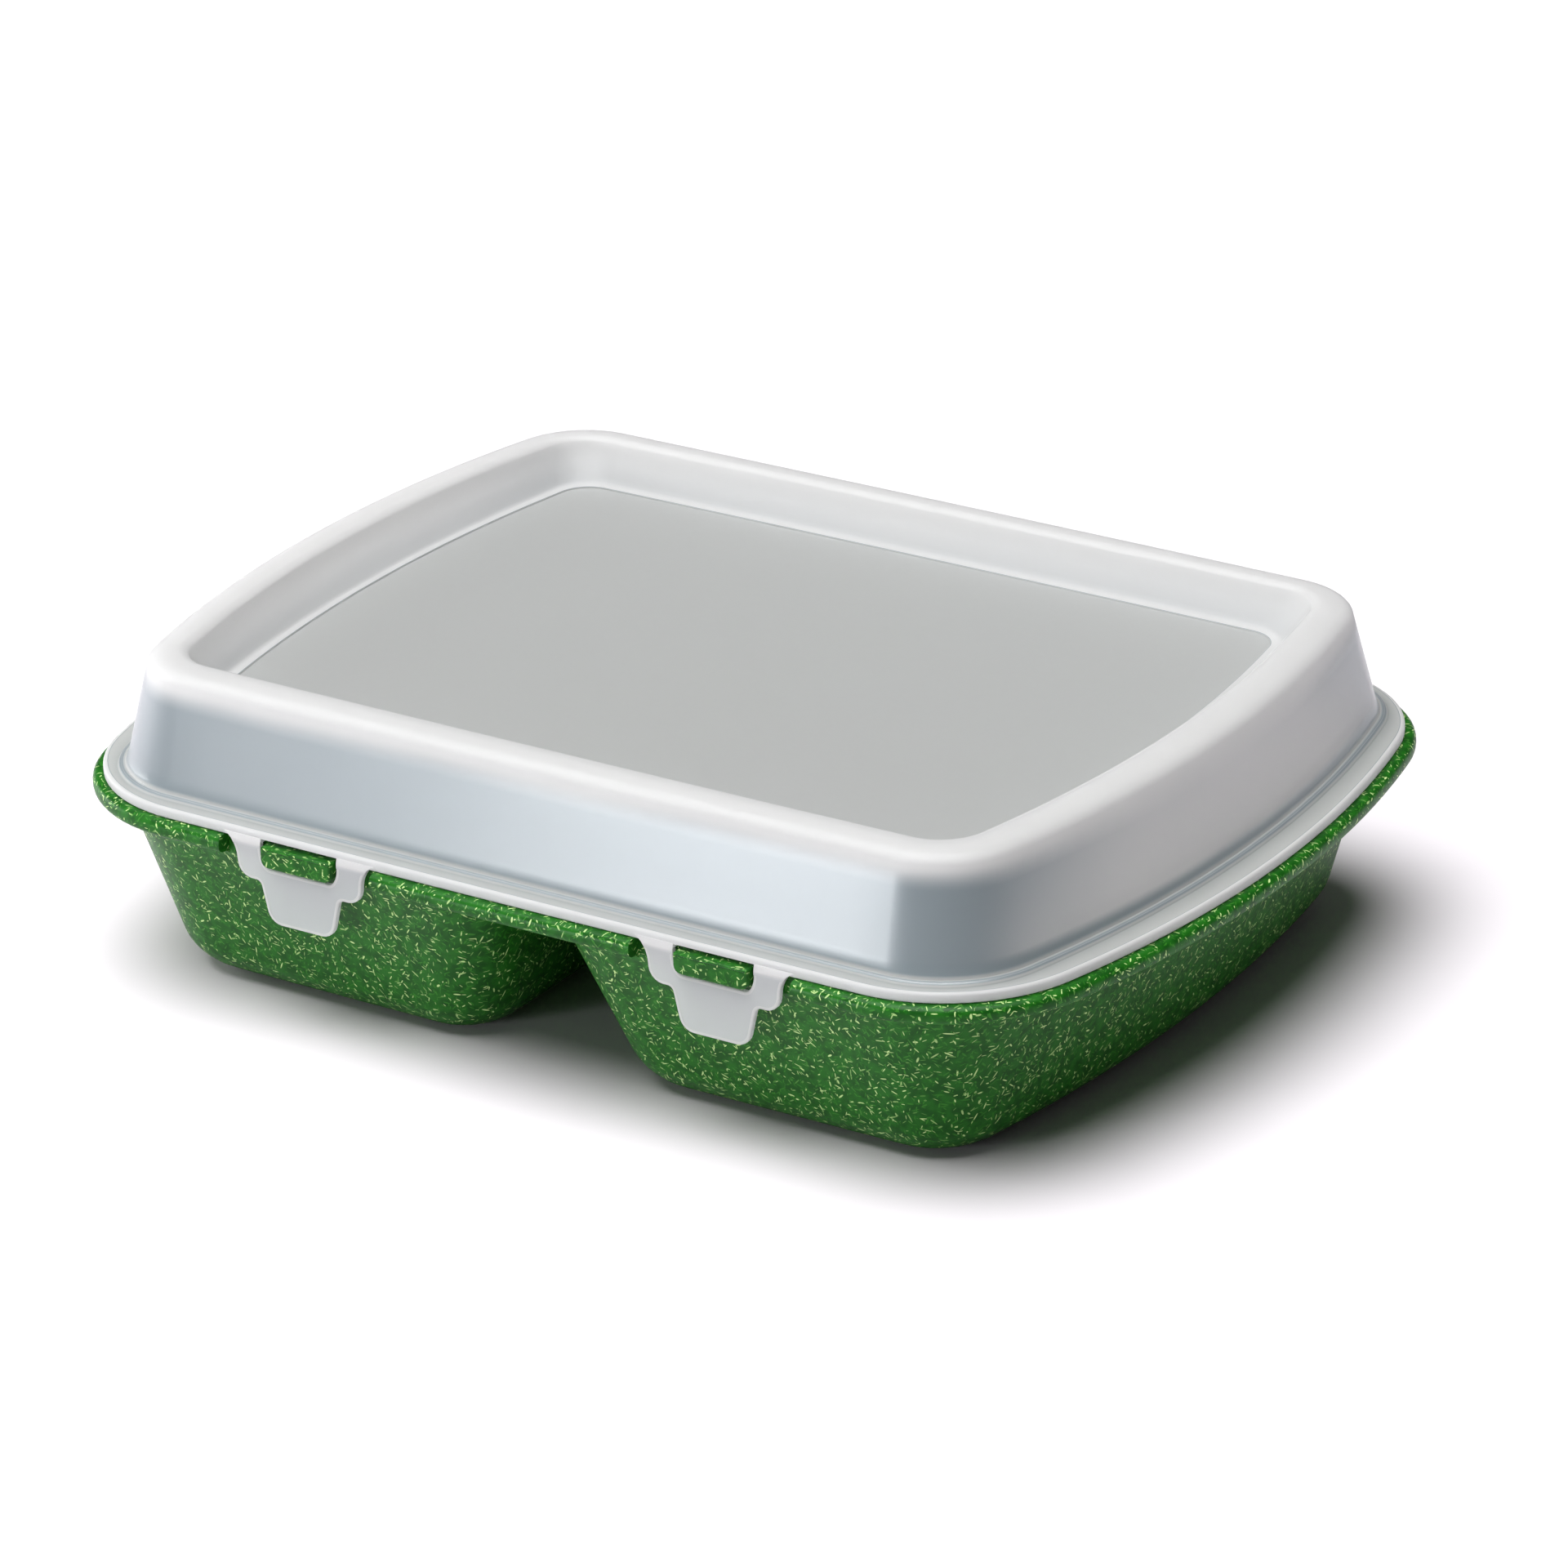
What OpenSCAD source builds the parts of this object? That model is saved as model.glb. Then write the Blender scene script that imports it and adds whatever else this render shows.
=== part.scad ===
// Two-compartment meal container: a drafted tray with two bowls side by side under one rim,
// a domed lid that lies on the rim, and four swinging clips that hook over lugs on the rim.
// Millimetres. The origin is the middle of the footprint at floor level, +Z is up,
// the long sides face -Y (front) and +Y (back).

/* [Tray rim] */

// Length over the two bowed short sides
tray_l = 240; // [220:1:270]
// Width over the two long sides
tray_w = 178; // [160:1:200]
// Height of the rim's top face above the table
rim_z = 40; // [34:1:55]
// How far each short side bows out past its ends
side_bow = 15; // [6:0.5:20]
// How far each long side bows out past its ends
long_bow = 0.6; // [0.3:0.1:2]
// Corner radius of the rim in plan
rim_corner_r = 34; // [24:1:40]
// Thickness of the rim
rim_t = 3.6; // [2.5:0.1:5]
// Rounding of the rim's outer edge
rim_edge_r = 1.5; // [0.6:0.1:1.7]

/* [Bowls] */

// Wall and floor thickness of the two bowls
wall_t = 1.6; // [1.2:0.1:2.4]
// Width of the rim from a bowl's outside to the short side
rim_end_w = 9.5; // [7:0.5:14]
// Width of the rim from a bowl's outside to the long side
rim_long_w = 3.6; // [3:0.1:5]
// Slope of the outer bowl walls from upright
wall_draft = 19.5; // [8:0.5:24]
// Corner radius of a bowl at the rim
bowl_corner_top = 24; // [18:1:30]
// Corner radius of a bowl at the floor
bowl_corner_low = 15; // [12:1:18]
// Bow of a bowl's end wall at the floor
floor_bow = 7; // [4:0.5:10]
// Rounding between walls and floor
floor_r = 8; // [5:0.5:10]
// Half of the open gap between the bowls, right under the rim
gap_top = 6.5; // [5:0.5:9]
// Slope of the two walls that face the gap
gap_draft = 15; // [8:0.5:20]
// Corner radius of a bowl beside the gap
gap_corner = 13; // [11:0.5:16]
// How far the ridge between the bowls lies below the rim's top face
ridge_drop = 1.2; // [0:0.1:1.4]
// Flare of the walls into the underside of the rim
flare = 1.4; // [0.6:0.1:2]

/* [Lid] */

// Inset of the lid's edge from the tray's rim
lid_inset = 2; // [1:0.1:3]
// Gap between the rim's top face and the lid's flange
seat_gap = 0.1; // [0.05:0.01:0.2]
// Thickness of the lid's flange
flange_t = 2.1; // [1.6:0.1:3]
// Wall thickness of the dome and its panel
lid_wall = 1.2; // [0.8:0.1:1.6]
// Height of the lid's bead above the rim
dome_h = 26; // [20:1:40]
// Width of the flange from the dome's foot to the short side
flange_end_w = 6.6; // [5:0.1:10]
// Width of the flange from the dome's foot to the long side
flange_long_w = 4.4; // [3.8:0.1:6]
// Slope of the dome's wall from upright
dome_draft = 14; // [6:0.5:20]
// Corner radius of the dome at its foot
dome_corner_foot = 22; // [19:1:30]
// Corner radius of the dome at its bead
dome_corner_top = 17; // [14:1:20]
// Bow of the dome's end walls at the bead
dome_bow = 11; // [6:0.5:14]
// Height of the small ledge round the dome's foot
ledge_h = 0.8; // [0.4:0.1:1.2]
// Width of the small ledge round the dome's foot
ledge_w = 1.5; // [0.8:0.1:2]
// Rounding of the bead
bead_r = 2.4; // [1:0.1:3]
// Width of the flat top of the bead at the long sides
bead_w = 5; // [3.5:0.5:7]
// Depth of the panel below the bead
panel_drop = 7.8; // [5:0.2:12]
// Width of the slope from the bead to the panel at the long sides
slope_w = 4.4; // [3:0.2:8]
// Extra width of bead and slope at the short sides
end_extra = 2.4; // [0:0.2:4]
// Bow of the panel's short sides
panel_bow = 6.2; // [3:0.2:9]
// Corner radius of the panel
panel_corner = 9; // [6:0.5:12]
// Depth of the step round the panel
panel_step = 0.4; // [0.2:0.1:0.6]

/* [Clips] */

// Distance of a clip's middle from the container's middle
clip_x = 47.75; // [36:0.25:56]
// Thickness of a clip
clip_t = 1.2; // [0.8:0.1:1.4]
// Half width of a clip at its shoulders
clip_half_w = 14.8; // [13:0.2:18]
// Half width of the grip just under the shoulders
grip_half_w = 9.3; // [7:0.1:11]
// Half width of the grip at its tip
tip_half_w = 7.4; // [5:0.1:9]
// Distance of the shoulders' underside below the hinge
shoulder_drop = 7.2; // [6.4:0.1:9]
// Distance of the tip below the hinge
tip_drop = 15.8; // [13:0.2:20]
// Half width of the slot that takes the lug
slot_half_w = 9; // [7.5:0.1:10]
// Distance of the slot's lower edge below the hinge
slot_drop = 4.4; // [4.2:0.1:5.2]
// Rounding of a clip's corners
clip_round = 2; // [0.8:0.1:2.4]
// Rim left in front of a bowl's wall at the back of each notch
notch_web = 0.3; // [0.2:0.1:0.6]
// Gap between a clip's inner face and the back of its notch in the rim
clip_gap = 0.4; // [0.3:0.1:0.8]
// Gap between a clip's sides and the ends of its notch in the rim
notch_gap = 1.6; // [0.6:0.1:2.4]
// Gap between the lug and the slot's sides and lower edge
lug_gap = 0.7; // [0.5:0.1:1]
// How far a lug stands out of the clip's outer face
lug_proud = 1.2; // [0.6:0.1:1.4]
// Gap between a clip's rounded top edge and the lid's flange
hinge_gap = 0.1; // [0.05:0.01:0.2]

/* [Hidden] */

side_steps = 5;          // facets on each half of a short side
long_steps = 3;          // facets on each half of a long side
corner_steps = 7;        // facets on each corner
round_steps = 4;         // facets on each rounding seen from the side
clip_fn = 24;            // facets of the clips' roundings
over = 1;                // how far cutters reach past what they cut
mouth_r = 0.6;           // bevel round the mouth of each bowl

tray_a = tray_l / 2;
tray_b = tray_w / 2;
rim_low = rim_z - rim_t;

bowl_a = tray_a - rim_end_w;
bowl_b = tray_b - rim_long_w;

lid_low = rim_z + seat_gap;
flange_top = lid_low + flange_t;
lid_a = tray_a - lid_inset;
lid_b = tray_b - lid_inset;
lid_corner_r = rim_corner_r - lid_inset;
foot_a = lid_a - flange_end_w;
foot_b = lid_b - flange_long_w;
bead_z = rim_z + dome_h;
dome_rise = bead_z - flange_top;
dome_in = dome_rise * tan(dome_draft);
top_a = foot_a - dome_in;
top_b = foot_b - dome_in;
panel_z = bead_z - panel_drop;
crest_a = top_a - bead_r - bead_w - end_extra / 2;
crest_b = top_b - bead_r - bead_w;
panel_a = crest_a - slope_w - end_extra / 2;
panel_b = crest_b - slope_w;

hinge_r = clip_t / 2;
hinge_z = lid_low - hinge_gap - hinge_r;
notch_y = bowl_b + notch_web;
clip_in_y = notch_y + clip_gap;
clip_out_y = clip_in_y + clip_t;
clip_y = clip_in_y + clip_t / 2;
clip_flare = 1.5;
notch_half = clip_half_w + clip_flare + notch_gap;
lug_low = hinge_z - slot_drop + lug_gap;
lug_y = clip_out_y + lug_proud;
relief_h = 0.8;          // how far the flange is cut away above a slot

tray_green = [0.13, 0.36, 0.13];
lid_clear = [0.82, 0.85, 0.86, 0.75];

// Radius of the arc that rises by bow over a half length
function arc_r(half, bow) = (half * half + bow * bow) / (2 * bow);

// Middle of the corner arc that touches both bowed sides
function corner_mid(a, b, bow_a, bow_b, r) =
    let (
        ra = arc_r(b, bow_a),
        rb = arc_r(a, bow_b),
        p = [a - ra, 0],
        q = [0, b - rb],
        d = norm(q - p),
        u = (q - p) / d,
        h = (d * d + pow(ra - r, 2) - pow(rb - r, 2)) / (2 * d),
        k = sqrt(pow(ra - r, 2) - h * h)
    )
    p + u * h + [-u[1], u[0]] * k;

// Points on an arc
function arc(mid, r, from, to, steps) = [
    for (i = [0:steps]) mid + r * [cos(from + (to - from) * i / steps), sin(from + (to - from) * i / steps)]
];

function without_first(list) = [for (i = [1:len(list) - 1]) list[i]];
function flipped_y(list) = [for (i = [len(list) - 1:-1:0]) [list[i][0], -list[i][1]]];
function flipped_x(list) = [for (i = [len(list) - 1:-1:0]) [-list[i][0], list[i][1]]];
function at_z(list, z) = [for (p = list) [p[0], p[1], z]];

// Outline with four bowed sides and round corners
function outline(a, b, bow_a, bow_b, r) =
    let (
        ra = arc_r(b, bow_a),
        rb = arc_r(a, bow_b),
        m = corner_mid(a, b, bow_a, bow_b, r),
        low = atan2(m[1], m[0] - a + ra),
        high = atan2(m[1] - b + rb, m[0]),
        quarter = concat(
            arc([a - ra, 0], ra, 0, low, side_steps),
            without_first(arc(m, r, low, high, corner_steps)),
            without_first(arc([0, b - rb], rb, high, 90, long_steps))
        ),
        half = concat(quarter, without_first(flipped_x(quarter)))
    )
    concat(half, without_first(flipped_y(half)));

// Outline of the bowl on the +X side, with its straight wall at x = gap
function bowl_outline(a, b, bow_a, bow_b, r, gap, gap_r) =
    let (
        ra = arc_r(b, bow_a),
        rb = arc_r(a, bow_b),
        m = corner_mid(a, b, bow_a, bow_b, r),
        low = atan2(m[1], m[0] - a + ra),
        high = atan2(m[1] - b + rb, m[0]),
        g = [gap + gap_r, b - rb + sqrt(pow(rb - gap_r, 2) - pow(gap + gap_r, 2))],
        turn = atan2(g[1] - b + rb, g[0]),
        half = concat(
            arc([a - ra, 0], ra, 0, low, side_steps),
            without_first(arc(m, r, low, high, corner_steps)),
            without_first(arc([0, b - rb], rb, high, turn, 2)),
            without_first(arc(g, gap_r, turn, 180, corner_steps))
        )
    )
    concat(half, without_first(flipped_y(half)));

// Convex body through a stack of outlines, each given as 3-D points
module loft(levels) {
    points = [for (level = levels) each level];
    hull() polyhedron(points = points, faces = [[for (i = [0:len(points) - 1]) i]]);
}

function mix(low, high, t) = low + (high - low) * t;

// Outline of a bowl at a height, grown outwards by grow
function bowl_level(z, grow) =
    let (
        drop = rim_low - z,
        t = drop / rim_low,
        into = drop * tan(wall_draft)
    )
    bowl_outline(
        bowl_a - into + grow,
        bowl_b - into + grow,
        mix(side_bow, floor_bow, t),
        long_bow,
        mix(bowl_corner_top, bowl_corner_low, t) + grow,
        gap_top + drop * tan(gap_draft) - grow,
        gap_corner + grow
    );

// A bowl as one solid plug, shrunk by the wall for the hollow inside
module bowl_plug(shrink, top) {
    low = shrink;
    r = floor_r - shrink;
    loft(concat(
        [for (i = [0:round_steps])
            let (turn = 90 * i / round_steps, z = low + r * (1 - sin(turn)))
            at_z(bowl_level(z, -shrink - r * (1 - cos(turn))), z)],
        [at_z(bowl_level(top, -shrink), top)]
    ));
}

// The walls' flare into the underside of the rim, in two steps
module bowl_flare() {
    low = bowl_level(rim_low - 2 * flare, 0);
    middle = bowl_level(rim_low - 0.7 * flare, 0.4 * flare);
    high = bowl_level(rim_low, 1.4 * flare);
    loft([at_z(low, rim_low - 2 * flare), at_z(middle, rim_low - 0.7 * flare)]);
    loft([at_z(middle, rim_low - 0.7 * flare), at_z(high, rim_low + 0.2)]);
}

// The upper end of a bowl's hollow, upright in the rim, with a bevelled mouth
module bowl_mouth() {
    low = bowl_level(rim_low, -wall_t);
    middle = bowl_level(rim_low, -wall_t + 0.3);
    high = bowl_level(rim_low, -wall_t + 0.3 + mouth_r + over);
    loft([at_z(low, rim_low), at_z(middle, rim_z - mouth_r)]);
    loft([at_z(middle, rim_z - mouth_r), at_z(high, rim_z + over)]);
}

module both_bowls() {
    for (turn = [0, 180]) rotate(turn) children();
}

module at_clips() {
    for (sx = [-1, 1]) for (turn = [0, 180]) rotate(turn) translate([sx * clip_x, 0, 0]) children();
}

// The rim as one plug with a rounded edge
module rim_plug() {
    loft([for (i = [0:2 * round_steps])
        let (
            turn = -90 + 90 * i / round_steps,
            z = (turn < 0 || i < round_steps ? rim_low + rim_edge_r : rim_z - rim_edge_r)
                + rim_edge_r * sin(turn),
            into = rim_edge_r * (1 - cos(turn))
        )
        at_z(outline(tray_a - into, tray_b - into, side_bow, long_bow, rim_corner_r - into), z)
    ]);
}

// What a clip needs cut away from the rim
module notch() {
    depth = tray_b - notch_y + over;
    low = rim_low - 2 * flare - over;
    translate([-notch_half, -notch_y - depth, low])
        cube([2 * notch_half, depth, rim_z + over - low]);
}

// The lug that a clip's slot hooks over, with the slot's outline less a gap
module lug() {
    nose = 1;
    root = notch_web + wall_t / 2;
    high = rim_z - 0.2;
    intersection() {
        hull() {
            translate([-slot_half_w, -notch_y, lug_low])
                cube([2 * slot_half_w, root, high - lug_low]);
            translate([-slot_half_w, -lug_y + nose, lug_low + nose])
                rotate([0, 90, 0]) cylinder(r = nose, h = 2 * slot_half_w, $fn = clip_fn);
            translate([-slot_half_w, -lug_y + nose, high - nose])
                rotate([0, 90, 0]) cylinder(r = nose, h = 2 * slot_half_w, $fn = clip_fn);
        }
        translate([0, -notch_y + root, hinge_z]) rotate([90, 0, 0])
            linear_extrude(tray_b - notch_y + root + over)
                offset(delta = -lug_gap) slot_face();
    }
}

module tray() {
    color(tray_green) {
        difference() {
            union() {
                rim_plug();
                both_bowls() bowl_plug(0, rim_low - 2 * flare);
                both_bowls() bowl_flare();
            }
            both_bowls() bowl_plug(wall_t, rim_low);
            both_bowls() bowl_mouth();
            translate([-gap_top - wall_t - 4, -bowl_b + gap_corner, rim_z - ridge_drop])
                cube([2 * (gap_top + wall_t + 4), 2 * (bowl_b - gap_corner), ridge_drop + over]);
            at_clips() notch();
        }
        at_clips() lug();
    }
}

// Outline of the dome at a height, grown outwards by grow
function dome_level(z, grow) =
    let (t = (z - flange_top) / dome_rise, into = (z - flange_top) * tan(dome_draft))
    outline(
        foot_a - into + grow,
        foot_b - into + grow,
        mix(side_bow - 2, dome_bow, t),
        long_bow,
        mix(dome_corner_foot, dome_corner_top, t) + grow
    );

// The dome as one solid plug, shrunk by the wall for the hollow inside
module dome_plug(shrink, low) {
    top = bead_z - shrink;
    r = bead_r;
    loft(concat(
        [at_z(dome_level(low, -shrink), low)],
        [for (i = [0:round_steps])
            let (turn = 90 * i / round_steps, z = top - r * (1 - sin(turn)))
            at_z(dome_level(z, -shrink - r * (1 - cos(turn))), z)]
    ));
}

// Outline of the recess between panel (t = 0) and bead (t = 1)
function recess_level(t, grow) = outline(
    mix(panel_a, crest_a, t) + grow,
    mix(panel_b, crest_b, t) + grow,
    mix(panel_bow, (panel_bow + dome_bow) / 2, t),
    long_bow,
    mix(panel_corner, panel_corner + slope_w, t) + grow
);

// The recess over the panel as one solid plug
module recess_plug(grow) {
    z0 = panel_z - grow;
    soft = 1.2;
    loft([
        at_z(recess_level(0, grow - 0.6), z0),
        at_z(recess_level(0, grow), z0 + 0.5),
        at_z(recess_level(1, grow), bead_z - soft)
    ]);
    loft([at_z(recess_level(1, grow), bead_z - soft), at_z(recess_level(1, grow + 0.3), bead_z - 0.5)]);
    loft([at_z(recess_level(1, grow + 0.3), bead_z - 0.5), at_z(recess_level(1, grow + 1), bead_z)]);
    loft([at_z(recess_level(1, grow + 1), bead_z), at_z(recess_level(1, grow + 1), bead_z + over)]);
}

// The flange as one plug with softened edges
module flange_plug() {
    soft = 0.5;
    loft([
        at_z(outline(lid_a - soft, lid_b - soft, side_bow, long_bow, lid_corner_r - soft), lid_low),
        at_z(outline(lid_a, lid_b, side_bow, long_bow, lid_corner_r), lid_low + soft),
        at_z(outline(lid_a, lid_b, side_bow, long_bow, lid_corner_r), flange_top - soft),
        at_z(outline(lid_a - soft, lid_b - soft, side_bow, long_bow, lid_corner_r - soft), flange_top)
    ]);
}

module lid() {
    color(lid_clear) {
        difference() {
            union() {
                flange_plug();
                loft([at_z(dome_level(flange_top, ledge_w), flange_top - 0.1),
                    at_z(dome_level(flange_top, ledge_w - 0.3), flange_top + ledge_h)]);
                dome_plug(0, flange_top - 0.1);
            }
            recess_plug(0);
            difference() {
                dome_plug(lid_wall, lid_low - over);
                recess_plug(lid_wall);
            }
            translate([0, 0, panel_z - panel_step])
                linear_extrude(panel_step + over)
                    polygon(recess_level(0, -2.2));
            at_clips()
                translate([-slot_half_w, -lid_b - over, lid_low - over])
                    cube([2 * slot_half_w, over + 1.6, over + relief_h]);
        }
    }
}

// Outline of a clip's slot, open at the top, with the hinge line on the X axis
module slot_face() {
    r = 1.2;
    offset(r = r, $fn = clip_fn) offset(r = -r, $fn = clip_fn)
        polygon([
            [-slot_half_w, 8],
            [-slot_half_w, -slot_drop / 2],
            [-slot_half_w + r, -slot_drop],
            [slot_half_w - r, -slot_drop],
            [slot_half_w, -slot_drop / 2],
            [slot_half_w, 8]
        ]);
}

// Face of a clip, seen from outside, with the hinge line on the X axis
module clip_face() {
    difference() {
        offset(r = clip_round, $fn = clip_fn) offset(r = -clip_round, $fn = clip_fn)
            offset(r = -clip_round / 2, $fn = clip_fn) offset(r = clip_round / 2, $fn = clip_fn)
            polygon([
                [-clip_half_w, 3 * clip_round],
                [-clip_half_w + 0.4, -shoulder_drop],
                [-grip_half_w, -shoulder_drop],
                [-tip_half_w, -tip_drop],
                [tip_half_w, -tip_drop],
                [grip_half_w, -shoulder_drop],
                [clip_half_w - 0.4, -shoulder_drop],
                [clip_half_w, 3 * clip_round]
            ]);
        slot_face();
        translate([-2 * clip_half_w, 0]) square([4 * clip_half_w, 8 * clip_round]);
    }
    // the shoulders widen where they run into the flange
    for (s = [-1, 1]) scale([s, 1])
        difference() {
            translate([clip_half_w - 1, -clip_flare]) square([1 + clip_flare, clip_flare]);
            translate([clip_half_w + clip_flare, -clip_flare]) circle(r = clip_flare, $fn = clip_fn);
        }
}

// One clip in its closed place, on the front side at the middle
module clip() {
    arm = clip_half_w + clip_flare - slot_half_w;
    color(lid_clear) translate([0, -clip_y, hinge_z]) {
        translate([0, clip_t / 2, 0]) rotate([90, 0, 0]) linear_extrude(clip_t) clip_face();
        for (s = [-1, 1]) translate([s * (slot_half_w + arm / 2), 0, 0])
            rotate([0, 90, 0]) cylinder(r = hinge_r, h = arm, center = true, $fn = clip_fn);
    }
}

module clip_front_left() { translate([-clip_x, 0, 0]) clip(); }
module clip_front_right() { translate([clip_x, 0, 0]) clip(); }
module clip_back_left() { rotate(180) translate([clip_x, 0, 0]) clip(); }
module clip_back_right() { rotate(180) translate([-clip_x, 0, 0]) clip(); }

tray();
lid();
clip_front_left();
clip_front_right();
clip_back_left();
clip_back_right();
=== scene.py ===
"""Looks of a two-compartment meal container: moulded tray, domed lid and four clips."""

import logging
import math
from collections.abc import Callable, Sequence
from dataclasses import dataclass, field
from enum import Enum

import bmesh
import bpy
from mathutils import Matrix, Vector
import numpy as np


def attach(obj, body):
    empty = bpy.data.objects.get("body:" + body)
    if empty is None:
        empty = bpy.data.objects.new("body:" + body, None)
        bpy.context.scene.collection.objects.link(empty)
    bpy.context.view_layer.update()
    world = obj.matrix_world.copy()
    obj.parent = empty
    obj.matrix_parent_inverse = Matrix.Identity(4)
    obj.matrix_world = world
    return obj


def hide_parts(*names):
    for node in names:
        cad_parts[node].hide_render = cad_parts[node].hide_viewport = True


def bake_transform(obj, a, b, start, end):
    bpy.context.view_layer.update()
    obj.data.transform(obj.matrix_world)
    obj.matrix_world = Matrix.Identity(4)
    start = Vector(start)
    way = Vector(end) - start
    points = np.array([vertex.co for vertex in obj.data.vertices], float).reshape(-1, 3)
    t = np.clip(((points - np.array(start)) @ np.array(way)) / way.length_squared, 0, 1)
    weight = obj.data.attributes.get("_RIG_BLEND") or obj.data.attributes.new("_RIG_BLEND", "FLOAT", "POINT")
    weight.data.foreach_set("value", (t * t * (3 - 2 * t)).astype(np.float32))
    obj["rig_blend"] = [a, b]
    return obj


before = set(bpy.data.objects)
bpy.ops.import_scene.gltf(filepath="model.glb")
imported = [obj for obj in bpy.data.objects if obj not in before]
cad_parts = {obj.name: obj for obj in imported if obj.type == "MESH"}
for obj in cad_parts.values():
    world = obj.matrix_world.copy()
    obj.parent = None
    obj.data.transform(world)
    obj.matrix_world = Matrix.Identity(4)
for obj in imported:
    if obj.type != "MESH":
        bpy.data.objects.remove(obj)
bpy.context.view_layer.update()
LOG = logging.getLogger("meal_container")
MM = 0.001
CLIP_ALONG = 47.75
END_STEPS, CORNER_STEPS, SIDE_STEPS, GAP_STEPS, WALL_STEPS = 12, 16, 10, 12, 10
# The highest tone paints the glow of light carried along the plastic's edges.
WALL_TONE, CLIP_TONE, GLOW_TONE = 0.42, 0.52, 1.0

Colour = tuple[float, float, float, float]


def mix(low: float, high: float, t: float) -> float:
    """Value at the share t of the way from low to high."""
    return low + (high - low) * t


def ease(value: float, start: float, end: float) -> float:
    """Soft step of a value.

    Args:
        value: Where the step is read.
        start: Where it is still 0.
        end: Where it has reached 1.

    Returns:
        A share from 0 to 1.
    """
    t = min(max((value - start) / (end - start), 0.0), 1.0)
    return t * t * (3 - 2 * t)


def rounding(start: float, end: float, steps: int) -> list[tuple[float, float]]:
    """Points along a rounding of radius 1.

    Args:
        start: First angle in degrees, 0 at the side and 90 at the top.
        end: Last angle in degrees.
        steps: Number of steps between them.

    Returns:
        How far each point lies below the top and how far inside the side.
    """
    angles = (math.radians(mix(start, end, i / steps)) for i in range(steps + 1))
    return [(1 - math.sin(a), 1 - math.cos(a)) for a in angles]


def arc(middle: Vector, radius: float, start: float, end: float, steps: int) -> list[Vector]:
    """Points on an arc, both ends included.

    Args:
        middle: Centre of the arc.
        radius: Its radius.
        start: First angle in radians.
        end: Last angle in radians.
        steps: Number of steps.

    Returns:
        The points in plan.
    """
    spread = [mix(start, end, i / steps) for i in range(steps + 1)]
    return [middle + radius * Vector((math.cos(a), math.sin(a))) for a in spread]


def toward(azimuth: float, elevation: float) -> Vector:
    """Unit vector towards a place round the container.

    Args:
        azimuth: Degrees from the front, towards the right end.
        elevation: Degrees above the floor.

    Returns:
        The direction.
    """
    az, el = math.radians(azimuth), math.radians(elevation)
    return Vector((math.sin(az) * math.cos(el), -math.cos(az) * math.cos(el), math.sin(el)))


def linked(name: str, data: bpy.types.ID) -> bpy.types.Object:
    """Object with this data, linked to the scene."""
    made = bpy.data.objects.new(name, data)
    bpy.context.scene.collection.objects.link(made)
    return made


@dataclass(frozen=True)
class BowedOutline:
    """Rounded rectangle in plan whose four sides bow out a little, in millimetres."""

    half_length: float
    half_width: float
    end_bow: float
    side_bow: float
    corner: float

    @property
    def end_radius(self) -> float:
        """Radius of the bowed short side."""
        return (self.half_width**2 + self.end_bow**2) / (2 * self.end_bow)

    @property
    def side_radius(self) -> float:
        """Radius of the bowed long side."""
        return (self.half_length**2 + self.side_bow**2) / (2 * self.side_bow)

    @property
    def side_middle(self) -> Vector:
        """Centre of the long side's arc."""
        return Vector((0.0, self.half_width - self.side_radius))

    def corner_middle(self) -> Vector:
        """Centre of the corner arc that touches both bowed sides."""
        end_middle = Vector((self.half_length - self.end_radius, 0.0))
        way = self.side_middle - end_middle
        along = way.normalized()
        near, far = self.end_radius - self.corner, self.side_radius - self.corner
        reach = (way.length_squared + near**2 - far**2) / (2 * way.length)
        height = math.sqrt(near**2 - reach**2)
        return end_middle + along * reach + Vector((-along.y, along.x)) * height

    def upto(self, stop: float) -> list[Vector]:
        """Points from the middle of the right end, round the corner, along the long side.

        Args:
            stop: Angle about the long side's centre where the run ends, in radians.

        Returns:
            The points of the run, both ends included.
        """
        middle = self.corner_middle()
        end_middle = Vector((self.half_length - self.end_radius, 0.0))
        first, last = middle - end_middle, middle - self.side_middle
        low, high = math.atan2(first.y, first.x), math.atan2(last.y, last.x)
        run = arc(end_middle, self.end_radius, 0.0, low, END_STEPS)
        run += arc(middle, self.corner, low, high, CORNER_STEPS)[1:]
        return run + arc(self.side_middle, self.side_radius, high, stop, SIDE_STEPS)[1:]

    def around(self) -> list[Vector]:
        """All four quarters as one closed run."""
        quarter = self.upto(math.pi / 2)
        half = quarter + [Vector((-p.x, p.y)) for p in reversed(quarter[:-1])]
        return half + [Vector((p.x, -p.y)) for p in reversed(half[1:-1])]

    def grown(self, by: float) -> "BowedOutline":
        """The same outline, grown outwards by a distance."""
        return BowedOutline(
            self.half_length + by,
            self.half_width + by,
            self.end_bow,
            self.side_bow,
            max(self.corner + by, 0.5),
        )


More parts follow.
